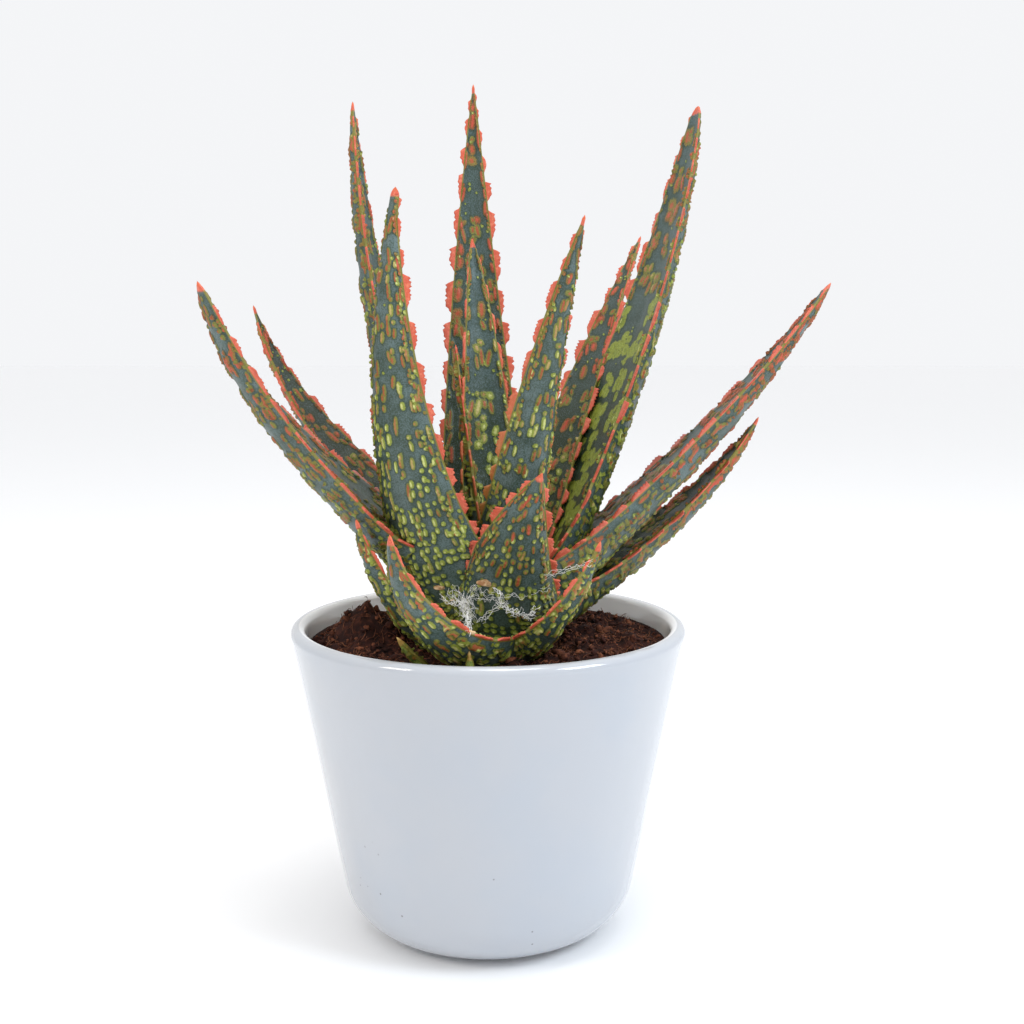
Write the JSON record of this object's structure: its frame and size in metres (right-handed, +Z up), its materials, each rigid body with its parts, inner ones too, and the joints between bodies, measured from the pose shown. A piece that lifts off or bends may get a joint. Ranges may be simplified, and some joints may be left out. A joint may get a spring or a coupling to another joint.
{
  "type": "potted spotted hybrid aloe",
  "caption": "Small succulent rosette of long upright fleshy leaves with toothed edges and raised spots, on a short stem in soil, in a round tapered glazed pot with a rounded foot.",
  "frame": {"origin": "centre of the pot's flat base, on the surface that it stands on", "axes": "+Z up along the pot's axis; -Y towards the side that the picture shows; +X to the right in the picture"},
  "size_m": [0.2039, 0.1347, 0.2834],
  "materials": {
    "glaze": "gloss",
    "soil": "matte",
    "stem": "matte",
    "leaf": "satin",
    "sprout": "satin"
  },
  "bodies": {
    "root": {"pot": "glaze", "soil": "soil", "stem": "stem", "leaf_heart": "leaf", "leaf_heart_back": "leaf", "leaf_front_right": "leaf", "leaf_back_tall": "leaf", "leaf_left_tall": "leaf", "leaf_right_rear": "leaf", "leaf_left_rear": "leaf", "leaf_front_left": "leaf", "leaf_right_tall": "leaf", "leaf_back_right_low": "leaf", "leaf_right_long": "leaf", "leaf_left_long": "leaf", "leaf_back_left_low": "leaf", "leaf_front_short": "leaf", "leaf_back_low": "leaf", "leaf_right_low": "leaf", "leaf_front_left_low": "leaf", "leaf_front_right_low": "leaf", "leaf_left_low": "leaf", "sprout_left": "sprout", "sprout_front": "sprout"}
  },
  "joints": []
}
